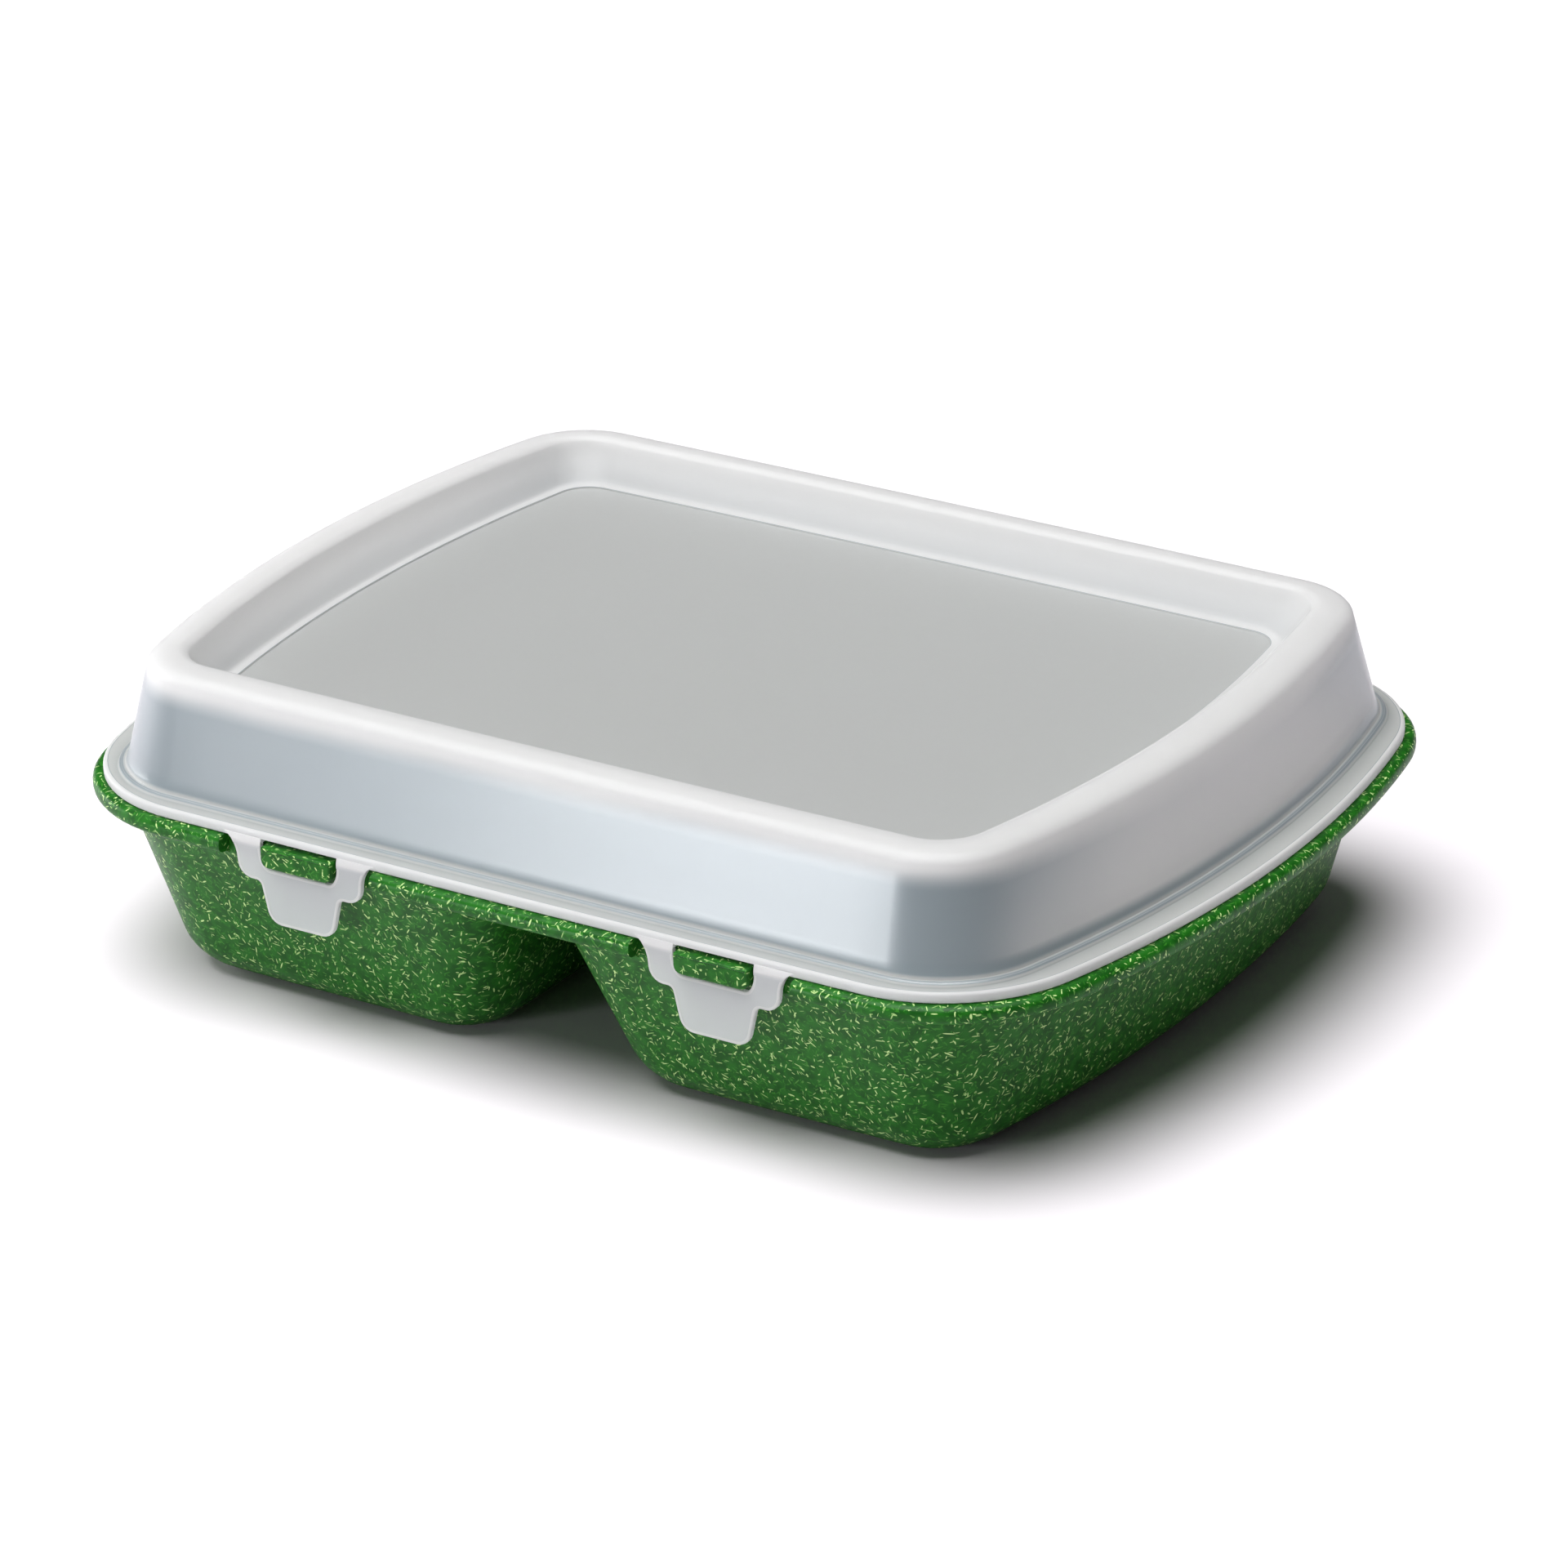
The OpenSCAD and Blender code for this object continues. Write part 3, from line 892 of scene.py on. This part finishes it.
@dataclass
class Lid:
    """Frosted domed lid with a raised bead round a sunk panel, in millimetres."""

    half_length: float = 118.0
    half_width: float = 87.0
    low: float = 40.1
    flange: float = 2.1
    flange_end: float = 6.6
    flange_side: float = 4.4
    corner: float = 32.0
    wall: float = 1.2
    bead_high: float = 66.0
    draft: float = 14.0
    corner_foot: float = 22.0
    corner_top: float = 17.0
    end_bow: float = 15.0
    foot_bow: float = 13.0
    top_bow: float = 11.0
    side_bow: float = 0.6
    ledge_high: float = 0.8
    ledge_wide: float = 1.5
    edge_high: float = 0.6
    edge_low: float = 0.4
    bead_round: float = 2.4
    bead_wide: float = 5.0
    crest_rise: float = 0.5
    inner_round: float = 1.9
    slope_wide: float = 4.4
    end_extra: float = 2.4
    panel_high: float = 58.2
    panel_bow: float = 6.2
    panel_corner: float = 9.0
    panel_step: float = 0.4
    relief: float = 0.8
    relief_half: float = 9.0
    end_from: float = 95.0
    end_to: float = 110.0
    end_tone: float = 0.59

    @property
    def top(self) -> float:
        """Height of the flange's upper face."""
        return self.low + self.flange

    @property
    def dome_in(self) -> float:
        """How far the dome's wall leans in from foot to bead."""
        return (self.bead_high - self.top) * math.tan(math.radians(self.draft))

    def edge_ring(self, inset: float, height: float) -> list[Vector]:
        """Ring round the flange, inset from its outermost outline."""
        outline = BowedOutline(
            self.half_length, self.half_width, self.end_bow, self.side_bow, self.corner
        )
        return lifted(outline.grown(-inset).around(), height)

    def dome_ring(self, height: float, grow: float, level: float | None = None) -> list[Vector]:
        """Ring round the dome.

        Args:
            height: Height that the outline is read at.
            grow: How far it is grown outwards.
            level: Height that the ring is put at, when it is another.

        Returns:
            The ring's points.
        """
        rise = height - self.top
        t = rise / (self.bead_high - self.top)
        into = rise * math.tan(math.radians(self.draft))
        outline = BowedOutline(
            self.half_length - self.flange_end - into,
            self.half_width - self.flange_side - into,
            mix(self.foot_bow, self.top_bow, t),
            self.side_bow,
            mix(self.corner_foot, self.corner_top, t),
        )
        return lifted(outline.grown(grow).around(), height if level is None else level)

    def recess_ring(self, t: float, grow: float, level: float) -> list[Vector]:
        """Ring of the recess.

        Args:
            t: 0 at the panel's edge, 1 at the bead's inner edge.
            grow: How far the ring is grown outwards.
            level: Height of the ring.

        Returns:
            The ring's points.
        """
        bead, extra = self.dome_in + self.bead_round + self.bead_wide, self.end_extra / 2
        crest_length = self.half_length - self.flange_end - bead - extra
        crest_width = self.half_width - self.flange_side - bead
        crest_corner = self.corner_top - self.bead_round - self.bead_wide
        outline = BowedOutline(
            mix(crest_length - self.slope_wide - extra, crest_length, t),
            mix(crest_width - self.slope_wide, crest_width, t),
            mix(self.panel_bow, (self.panel_bow + self.top_bow) / 2, t),
            self.side_bow,
            mix(self.panel_corner, crest_corner, t),
        )
        return lifted(outline.grown(grow).around(), level)

    def grow_recess(self, shell: RingShell) -> None:
        """Grow the recess from the panel over the step and the slope to the bead."""
        floor, step = self.panel_high, self.panel_step
        # The step's low tones paint the shadow line round the panel; the border, slope and bead get higher
        # tones as painted glow.
        for t, grow, level, tone in (
            (0, -2.4, floor - step, 0.06),
            (0, -2.2, floor - step + 0.08, 0.02),
            (0, -2.1, floor - 0.08, 0.1),
            (0, -1.9, floor, 0.7),
            (0, -1.0, floor, 0.7),
            (0, -0.4, floor + 0.14, 0.62),
            (0, 0.0, floor + 0.5, 0.6),
            (0.12, 0.0, floor + 1.2, 0.6),
            (0.55, 0.0, floor + 3.7, 0.6),
            (1, -0.1, self.bead_high - self.inner_round, 0.66),
        ):
            shell.grow(self.recess_ring(t, grow, level), tone)
        for down, out in rounding(30, 90, 4):
            level = self.bead_high - self.inner_round * down
            shell.grow(self.recess_ring(1, mix(-0.1, 2.2, out), level), 0.85)

    def grow_dome(self, shell: RingShell) -> None:
        """Grow the bead's outer side, the dome's wall, the ledge and the flange."""
        wide, tall = self.bead_round, self.bead_round - self.crest_rise
        # The bead's top is painted lighter than its side, as painted light.
        for down, out in rounding(90, 0, 6):
            z = self.bead_high - self.crest_rise - tall * down
            shell.grow(self.dome_ring(z, -wide * out), mix(0.85, 0.6, down))
        ledge = self.top + self.ledge_high
        for share in (0.24, 0.6, 0.9):
            z = mix(self.bead_high - self.bead_round, ledge + 1.2, share)
            shell.grow(self.dome_ring(z, 0.0), WALL_TONE)
        # The dark line at the ledge's foot and the negative tones on the flange top are painted shade.
        for height, grow, level, tone in (
            (ledge + 1.0, 0.05, None, 0.4),
            (ledge + 0.15, 0.35, None, 0.0),
            (ledge, self.ledge_wide - 0.5, None, 0.5),
            (ledge - 0.2, self.ledge_wide - 0.2, None, 0.3),
            (self.top, self.ledge_wide, self.top + 0.1, -0.3),
            (self.top, self.ledge_wide + 0.2, None, -0.2),
        ):
            shell.grow(self.dome_ring(height, grow, level), tone)
        shell.grow(self.edge_ring(1.0, self.top), -0.05)
        # The flange's outer edge and its underside get the painted glow.
        for down, out in rounding(90, 0, 3):
            ring = self.edge_ring(self.edge_high * out, self.top - self.edge_high * down)
            shell.grow(ring, GLOW_TONE)
        for down, out in rounding(0, 90, 3):
            ring = self.edge_ring(self.edge_low * out, self.low + self.edge_low * down)
            shell.grow(ring, GLOW_TONE)
        for inset in (1.6, 1.65):
            shell.grow(self.edge_ring(inset, self.low), 0.8)

    def grow_inside(self, shell: RingShell) -> None:
        """Grow the inner side of the dome, the bead and the slope, back to the panel."""
        skin, r = self.wall, self.bead_round
        shell.grow(self.dome_ring(self.top, -skin + 0.7, self.low), 0.5)
        shell.grow(self.dome_ring(self.top, -skin + 0.1, self.low + 0.3), 0.5)
        for share in (0.1, 0.5, 0.9):
            z = mix(self.top, self.bead_high - skin - r, share)
            shell.grow(self.dome_ring(z, -skin), WALL_TONE)
        for down, out in rounding(0, 90, 4):
            shell.grow(self.dome_ring(self.bead_high - skin - r * down, -skin - r * out), 0.6)
        high, low = self.bead_high - skin, self.panel_high - skin
        for t, grow, level, tone in (
            (1, skin + 1.5, high, 0.6),
            (1, skin + 0.5, high - 0.5, 0.6),
            (1, skin, high - 1.4, 0.6),
            (0, skin, low + 0.6, 0.4),
            (0, skin - 0.6, low, 0.2),
        ):
            shell.grow(self.recess_ring(t, grow, level), tone)

    def cut_relief(self, mesh: bmesh.types.BMesh) -> None:
        """Cut the flange's lower edge away a little above the four slots."""
        edge = self.half_width - 3
        inside = cut_windows(mesh, self.relief_half, lambda c: abs(c.y) > edge and c.z < self.top)
        for vert in inside:
            bow = 0.4 * (vert.co.x / self.half_length) ** 2
            outside = abs(vert.co.y) > self.half_width - 1.62 - bow
            if outside and vert.co.z < self.low + self.relief:
                vert.co.z = self.low + self.relief

    def whiten_ends(self, mesh: bmesh.types.BMesh) -> None:
        """Make the dome's wall whiter towards both ends, as the light comes through there."""
        tone = mesh.verts.layers.float["tone"]
        for vert in mesh.verts:
            if abs(vert[tone] - WALL_TONE) < 0.005:
                share = ease(abs(vert.co.x), self.end_from, self.end_to)
                vert[tone] = mix(WALL_TONE, self.end_tone, share)

    def build(self, finish: bpy.types.Material) -> bpy.types.Object:
        """Model the lid and dress it.

        Args:
            finish: Material of the lid.

        Returns:
            The lid's object.
        """
        shell = RingShell(self.recess_ring(0, -3.4, self.panel_high - self.panel_step), 0.06)
        self.grow_recess(shell)
        self.grow_dome(shell)
        self.grow_inside(shell)
        mesh = shell.close()
        self.cut_relief(mesh)
        self.whiten_ends(mesh)
        piece = finish_piece(mesh, "domed_lid", finish, 40.0)
        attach(piece, "lid")
        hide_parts("lid")
        return piece


class ClipPlace(Enum):
    """Places of the four clips: the turn about Z and the place along X before the turn."""

    FRONT_LEFT = ("clip_front_left", 0.0, -1)
    FRONT_RIGHT = ("clip_front_right", 0.0, 1)
    BACK_LEFT = ("clip_back_left", math.pi, 1)
    BACK_RIGHT = ("clip_back_right", math.pi, -1)


@dataclass
class Clip:
    """Swinging clip with a slot that hooks over a lug, in millimetres."""

    place: ClipPlace
    hinge_high: float = 39.4
    inner: float = 86.1
    outer: float = 87.3
    corners: list[tuple[float, float, float]] = field(
        default_factory=lambda: [
            (16.3, 0.6, 0.0),
            (14.95, -1.5, 1.3),
            (14.4, -7.2, 2.9),
            (9.4, -7.2, 1.0),
            (7.4, -15.8, 2.5),
        ]
    )
    slot: list[tuple[float, float, float]] = field(
        default_factory=lambda: [(9.0, 0.6, 0.0), (8.95, -2.2, 1.1), (7.7, -4.4, 0.9)]
    )
    web_inner: float = 9.03
    web_outer: float = 14.9
    web_flare: float = 2.4
    web_low: float = 37.9
    web_tall: float = 2.9

    def turned(self) -> Matrix:
        """Matrix that takes a clip at the middle of the front to its place."""
        _, turn, side = self.place.value
        return Matrix.Rotation(turn, 4, "Z") @ Matrix.Translation((side * CLIP_ALONG, 0, 0))

    def face(self, mesh: bmesh.types.BMesh) -> None:
        """Draw the clip's face at its outer side and round its corners."""
        right = self.corners
        left = [(-x, z, r) for x, z, r in reversed(right)]
        slot_left = [(-x, z, r) for x, z, r in self.slot]
        path = right + left + slot_left + list(reversed(self.slot))
        verts = [mesh.verts.new((x, -self.outer, self.hinge_high + z)) for x, z, _ in path]
        mesh.faces.new(verts)
        for radius in sorted({r for _, _, r in path if r > 0}):
            picked = [v for v, (_, _, r) in zip(verts, path, strict=True) if r == radius]
            round_off(mesh, picked, radius, 5, "VERTICES")

    def build(self, finish: bpy.types.Material) -> bpy.types.Object:
        """Model the clip and dress it.

        Args:
            finish: Material of the clip.

        Returns:
            The clip's object.
        """
        name = self.place.value[0]
        mesh = bmesh.new()
        tone = mesh.verts.layers.float.new("tone")
        self.face(mesh)
        made = bmesh.ops.extrude_face_region(mesh, geom=mesh.faces[:])
        back = [g for g in made["geom"] if isinstance(g, bmesh.types.BMVert)]
        bmesh.ops.translate(mesh, vec=(0, self.outer - self.inner, 0), verts=back)
        for flat in (-self.outer, -self.inner):
            rim = [e for e in mesh.edges if all(abs(v.co.y - flat) < 1e-4 for v in e.verts)]
            round_off(mesh, rim, 0.28, 3)
        # The clip's rounded edges get the painted glow.
        for vert in mesh.verts:
            vert[tone] = GLOW_TONE
        flat = [f for f in mesh.faces if abs(f.normal.y) > 0.999]
        bmesh.ops.inset_region(mesh, faces=flat, thickness=0.4, use_even_offset=True)
        for vert in {v for f in flat for v in f.verts}:
            vert[tone] = CLIP_TONE
        bmesh.ops.transform(mesh, matrix=self.turned(), verts=mesh.verts)
        piece = finish_piece(mesh, f"moulded_{name}", finish, 50.0)
        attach(piece, name)
        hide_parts(name)
        return piece

    def build_web(self, finish: bpy.types.Material) -> bpy.types.Object:
        """Model the thin plastic that bends between the flange and the clip's two arms.

        Args:
            finish: Material of the lid.

        Returns:
            The web's object.
        """
        name = self.place.value[0]
        mesh = bmesh.new()
        tone = mesh.verts.layers.float.new("tone")
        profile = [
            (-87.31, 38.9),
            (-87.31, 39.5),
            (-87.26, 40.0),
            (-87.14, 40.5),
            (-87.03, 41.0),
            (-86.9, 41.05),
            (-86.9, 40.2),
            (-86.8, 39.9),
            (-86.6, 38.9),
        ]
        for side in (-1, 1):
            verts = [mesh.verts.new((side * self.web_inner, y, z)) for y, z in profile]
            made = bmesh.ops.extrude_face_region(mesh, geom=[mesh.faces.new(verts)])
            for vert in (g for g in made["geom"] if isinstance(g, bmesh.types.BMVert)):
                rise = (vert.co.z - self.web_low) / self.web_tall
                vert.co.x = side * (self.web_outer + self.web_flare * rise * rise)
        # The web fades upwards into the painted glow at the flange.
        for vert in mesh.verts:
            vert[tone] = mix(CLIP_TONE, GLOW_TONE, ease(vert.co.z, 39.3, 40.7))
        bmesh.ops.transform(mesh, matrix=self.turned(), verts=mesh.verts)
        piece = finish_piece(mesh, name.replace("clip", "hinge_web"), finish, 50.0)
        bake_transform(piece, name, "lid", (0, 0, 39.2 * MM), (0, 0, 40.4 * MM))
        return piece


@dataclass(frozen=True)
class PhotoCamera:
    """Camera at the photograph's angle, in millimetres and degrees."""

    azimuth: float = 33.597
    elevation: float = 23.688
    roll: float = -1.473
    distance: float = 1541.731
    target: tuple[float, float, float] = (8.783, -3.169, 35.0)
    lens: float = 179.973
    sensor: float = 36.0

    def build(self) -> bpy.types.Object:
        """Place the camera and make it the scene's.

        Returns:
            The camera's object.
        """
        az, roll = math.radians(self.azimuth), math.radians(self.roll)
        back = toward(self.azimuth, self.elevation)
        right = Vector((math.cos(az), math.sin(az), 0.0))
        up = back.cross(right)
        across = right * math.cos(roll) + up * math.sin(roll)
        upright = up * math.cos(roll) - right * math.sin(roll)
        turn = Matrix((across, upright, back)).transposed()
        data = bpy.data.cameras.new("photo_camera")
        data.lens, data.sensor_width = self.lens, self.sensor
        data.clip_start, data.clip_end = 0.05, 60.0
        camera = linked("photo_camera", data)
        eye = (Vector(self.target) + back * self.distance) * MM
        camera.matrix_world = Matrix.Translation(eye) @ turn.to_4x4()
        bpy.context.scene.camera = camera
        return camera


@dataclass(frozen=True)
class SoftLight:
    """A broad, far light."""

    name: str
    azimuth: float
    elevation: float
    power: float
    spread: float = 0.0
    colour: tuple[float, float, float] = (1.0, 1.0, 1.0)

    def data(self) -> bpy.types.Light:
        """Light data with its spread."""
        made = bpy.data.lights.new(self.name, "SUN")
        made.angle = math.radians(self.spread)
        return made

    def spot(self, way: Vector) -> Vector:
        """Where the light stands, seen from the container along a direction."""
        return Vector()

    def build(self) -> bpy.types.Object:
        """Place the light.

        Returns:
            The light's object.
        """
        data = self.data()
        data.energy, data.color = self.power, self.colour
        light = linked(self.name, data)
        way = toward(self.azimuth, self.elevation)
        turn = way.to_track_quat("Z", "Y").to_matrix().to_4x4()
        light.matrix_world = Matrix.Translation(self.spot(way)) @ turn
        return light


@dataclass(frozen=True)
class SoftBox(SoftLight):
    """A rectangular soft box that faces a point near the container, in metres."""

    distance: float = 1.0
    aim: tuple[float, float, float] = (0.0, 0.0, 0.0)
    width: float = 0.2
    height: float = 0.2

    def data(self) -> bpy.types.Light:
        """Light data with the box's size."""
        made = bpy.data.lights.new(self.name, "AREA")
        made.shape, made.size, made.size_y = "RECTANGLE", self.width, self.height
        return made

    def spot(self, way: Vector) -> Vector:
        """Where the box stands."""
        return Vector(self.aim) + way * self.distance


@dataclass
class Studio:
    """Plain pale floor and soft light round the container."""

    floor_half: float = 9.0
    ambient: float = 0.066
    ambient_tint: Colour = (1.0, 0.88, 1.0, 1.0)
    backdrop: float = 1.2
    lights: list[SoftLight] = field(
        default_factory=lambda: [
            SoftLight("key_light", -25.0, 79.0, 4.8, 56.0),
            SoftBox(
                "side_box",
                azimuth=-84.0,
                elevation=11.0,
                power=0.85,
                distance=0.42,
                aim=(-0.11, -0.06, 0.045),
                width=0.24,
                height=0.16,
            ),
            SoftBox(
                "front_box",
                azimuth=-31.0,
                elevation=3.4,
                power=3.3,
                colour=(0.95, 0.975, 1.0),
                distance=1.0,
                aim=(0.08, -0.085, 0.05),
                width=0.15,
                height=0.22,
            ),
        ]
    )

    def build(self) -> None:
        """Lay the floor and set the lights and the world."""
        mesh = bmesh.new()
        bmesh.ops.create_grid(mesh, x_segments=1, y_segments=1, size=self.floor_half)
        data = bpy.data.meshes.new("studio_floor")
        mesh.to_mesh(data)
        mesh.free()
        floor = linked("studio_floor", data)
        data.materials.append(self.paper())
        for light in self.lights:
            light.build()
        world = bpy.data.worlds.new("studio_world")
        world.use_nodes = True
        graph = Graph(world.node_tree)
        ambient = world.node_tree.nodes["Background"]
        ambient.inputs[0].default_value = self.ambient_tint
        seen = graph.node("LightPath").outputs["Is Camera Ray"]
        power = graph.math("MULTIPLY_ADD", seen, self.backdrop, self.ambient)
        graph.feed(power, ambient.inputs[1])
        bpy.context.scene.world = world
        bpy.context.scene.view_settings.view_transform = "Standard"

    @staticmethod
    def paper() -> bpy.types.Material:
        """White seamless paper with a faint tooth.

        Returns:
            The floor's material.
        """
        made, graph, shader = new_material("white_paper")
        tooth = graph.noise(graph.node("TexCoord").outputs["Object"], 60.0)
        tone = graph.blend(tooth, (0.73, 0.7, 0.73, 1), (0.75, 0.72, 0.75, 1))
        graph.feed(tone, shader.inputs["Base Color"])
        shader.inputs["Roughness"].default_value = 0.9
        shader.inputs["Specular IOR Level"].default_value = 0.1
        return made


def report(piece: bpy.types.Object) -> None:
    """Log what a finished piece measures."""
    size = " x ".join(f"{d / MM:.1f}" for d in piece.dimensions)
    LOG.info("%s: %s mm, %d faces", piece.name, size, len(piece.data.polygons))


def main() -> None:
    """Build the container's pieces, the studio and the camera."""
    logging.basicConfig(level=logging.INFO, format="%(name)s: %(message)s")
    grain = mould_grain()
    green = StrawPlastic().material(grain)
    frosted = FrostedPlastic().material(grain)
    report(Tray().build(green))
    report(Lid().build(frosted))
    for place in ClipPlace:
        clip = Clip(place)
        report(clip.build(frosted))
        report(clip.build_web(frosted))
    Studio().build()
    PhotoCamera().build()


if __name__ == "__main__":
    main()
